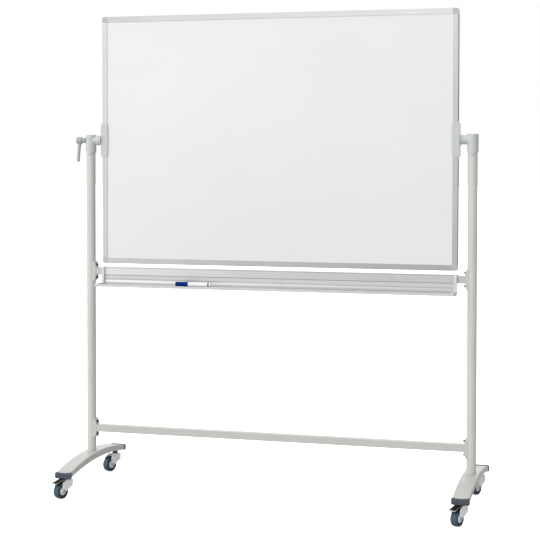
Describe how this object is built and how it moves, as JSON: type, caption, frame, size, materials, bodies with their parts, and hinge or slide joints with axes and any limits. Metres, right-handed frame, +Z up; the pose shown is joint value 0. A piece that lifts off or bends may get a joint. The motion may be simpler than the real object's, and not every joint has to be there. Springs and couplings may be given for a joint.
{
  "type": "rolling whiteboard",
  "caption": "Framed double-sided whiteboard that turns over between two posts on arched caster feet, with a clamp lever and a pen tray.",
  "frame": {"origin": "on the floor, midway between the two posts and in the plane of the board", "axes": "+X along the board to the right of someone facing the side with the tray, +Y away from them through the board, +Z up"},
  "size_m": [1.7121, 0.6469, 1.973],
  "materials": {
    "frame_aluminium": "satin",
    "corner_plastic": "fine grain",
    "panel_core": "pressed chipboard",
    "writing_lacquer": "smooth lacquered steel, half gloss",
    "pivot_casting": "fine powder coat",
    "shaft_steel": "turned",
    "friction_plastic": "satin",
    "bush_plastic": "smooth",
    "stand_paint": "fine powder coat",
    "dark_screw": "blackened",
    "anchor_steel": "zinc plated",
    "plug_plastic": "smooth",
    "foot_cap_plastic": "fine grain",
    "tray_aluminium": "satin",
    "tray_cap_plastic": "fine grain",
    "swivel_cover_plastic": "satin",
    "lever_plastic": "satin",
    "caster_metal": "silver lacquer",
    "axle_steel": "zinc plated",
    "wheel_plastic": "satin",
    "tread_rubber": "soft tread",
    "pedal_paint": "black lacquer, worn edges",
    "marker_body_plastic": "glossy",
    "marker_cap_plastic": "glossy"
  },
  "bodies": {
    "stand": {"post_left": "stand_paint", "post_right": "stand_paint", "foot_left": "stand_paint", "foot_right": "stand_paint", "foot_cap_front_left": "foot_cap_plastic", "foot_cap_front_right": "foot_cap_plastic", "foot_cap_rear_left": "foot_cap_plastic", "foot_cap_rear_right": "foot_cap_plastic", "pivot_head_left": "pivot_casting", "pivot_head_right": "pivot_casting", "crossbar_lower": "stand_paint", "crossbar_tray": "stand_paint", "crossbar_saddles": "stand_paint", "saddle_screws": "dark_screw", "pivot_bushes": "bush_plastic", "head_set_screws": "dark_screw", "post_anchor_plugs": "plug_plastic", "post_anchor_bolts": "anchor_steel", "tray_rail": "tray_aluminium", "tray_cap_left": "tray_cap_plastic", "tray_cap_right": "tray_cap_plastic", "caster_stems": "anchor_steel", "caster_swivel_covers": "swivel_cover_plastic"},
    "board": {"frame_rail_top": "frame_aluminium", "frame_rail_bottom": "frame_aluminium", "frame_rail_left": "frame_aluminium", "frame_rail_right": "frame_aluminium", "board_core": "panel_core", "writing_sheet_front": "writing_lacquer", "writing_sheet_rear": "writing_lacquer", "frame_corners": "corner_plastic", "pivot_clamp_left": "pivot_casting", "pivot_clamp_right": "pivot_casting", "pivot_clamp_screws": "dark_screw", "pivot_shaft_left": "shaft_steel", "pivot_shaft_right": "shaft_steel", "pivot_retaining_clip": "shaft_steel", "friction_ring": "friction_plastic"},
    "lock_lever": {"clamp_lever": "lever_plastic", "clamp_lever_stud": "shaft_steel"},
    "caster_front_left": {"caster_fork_front_left": "caster_metal", "caster_axle_front_left": "axle_steel"},
    "wheel_front_left": {"wheel_hub_front_left": "wheel_plastic", "wheel_tyre_front_left": "tread_rubber"},
    "pedal_front_left": {"brake_pedal_front_left": "pedal_paint"},
    "caster_front_right": {"caster_fork_front_right": "caster_metal", "caster_axle_front_right": "axle_steel"},
    "wheel_front_right": {"wheel_hub_front_right": "wheel_plastic", "wheel_tyre_front_right": "tread_rubber"},
    "pedal_front_right": {"brake_pedal_front_right": "pedal_paint"},
    "caster_rear_left": {"caster_fork_rear_left": "caster_metal", "caster_axle_rear_left": "axle_steel"},
    "wheel_rear_left": {"wheel_hub_rear_left": "wheel_plastic", "wheel_tyre_rear_left": "tread_rubber"},
    "caster_rear_right": {"caster_fork_rear_right": "caster_metal", "caster_axle_rear_right": "axle_steel"},
    "wheel_rear_right": {"wheel_hub_rear_right": "wheel_plastic", "wheel_tyre_rear_right": "tread_rubber"},
    "marker": {"marker_barrel": "marker_body_plastic"},
    "marker_cap": {"marker_cap": "marker_cap_plastic"}
  },
  "joints": [
    {"name": "board_flip", "type": "hinge", "parent": "stand", "child": "board", "pos_m": [0, 0, 1.456], "axis": [1, 0, 0], "continuous": true},
    {"name": "lock_lever_turn", "type": "hinge", "parent": "stand", "child": "lock_lever", "pos_m": [-0.8292, 0, 1.456], "axis": [1, 0, 0], "range_deg": [-90, 90]},
    {"name": "caster_swivel_front_left", "type": "hinge", "parent": "stand", "child": "caster_front_left", "pos_m": [-0.80625, -0.264, 0.0745], "axis": [0, 0, 1], "continuous": true},
    {"name": "wheel_spin_front_left", "type": "hinge", "parent": "caster_front_left", "child": "wheel_front_left", "pos_m": [-0.81899, -0.29552, 0.031], "axis": [0.9272, -0.3746, 0], "continuous": true},
    {"name": "brake_pedal_release_front_left", "type": "hinge", "parent": "caster_front_left", "child": "pedal_front_left", "pos_m": [-0.81711, -0.29089, 0.0678], "axis": [-0.9272, 0.3746, 0], "range_deg": [0, 8]},
    {"name": "caster_swivel_front_right", "type": "hinge", "parent": "stand", "child": "caster_front_right", "pos_m": [0.80625, -0.264, 0.0745], "axis": [0, 0, 1], "continuous": true},
    {"name": "wheel_spin_front_right", "type": "hinge", "parent": "caster_front_right", "child": "wheel_front_right", "pos_m": [0.79351, -0.29552, 0.031], "axis": [0.9272, -0.3746, 0], "continuous": true},
    {"name": "brake_pedal_release_front_right", "type": "hinge", "parent": "caster_front_right", "child": "pedal_front_right", "pos_m": [0.79539, -0.29089, 0.0678], "axis": [-0.9272, 0.3746, 0], "range_deg": [0, 8]},
    {"name": "caster_swivel_rear_left", "type": "hinge", "parent": "stand", "child": "caster_rear_left", "pos_m": [-0.80625, 0.264, 0.0745], "axis": [0, 0, 1], "continuous": true},
    {"name": "wheel_spin_rear_left", "type": "hinge", "parent": "caster_rear_left", "child": "wheel_rear_left", "pos_m": [-0.81899, 0.23248, 0.031], "axis": [0.9272, -0.3746, 0], "continuous": true},
    {"name": "caster_swivel_rear_right", "type": "hinge", "parent": "stand", "child": "caster_rear_right", "pos_m": [0.80625, 0.264, 0.0745], "axis": [0, 0, 1], "continuous": true},
    {"name": "wheel_spin_rear_right", "type": "hinge", "parent": "caster_rear_right", "child": "wheel_rear_right", "pos_m": [0.79351, 0.23248, 0.031], "axis": [0.9272, -0.3746, 0], "continuous": true},
    {"name": "marker_lift", "type": "slide", "parent": "stand", "child": "marker", "axis": [0, 0, 1], "range_m": [0, 0.15]},
    {"name": "marker_cap_pull", "type": "slide", "parent": "marker", "child": "marker_cap", "axis": [-1, 0, 0], "range_m": [0, 0.055]}
  ]
}
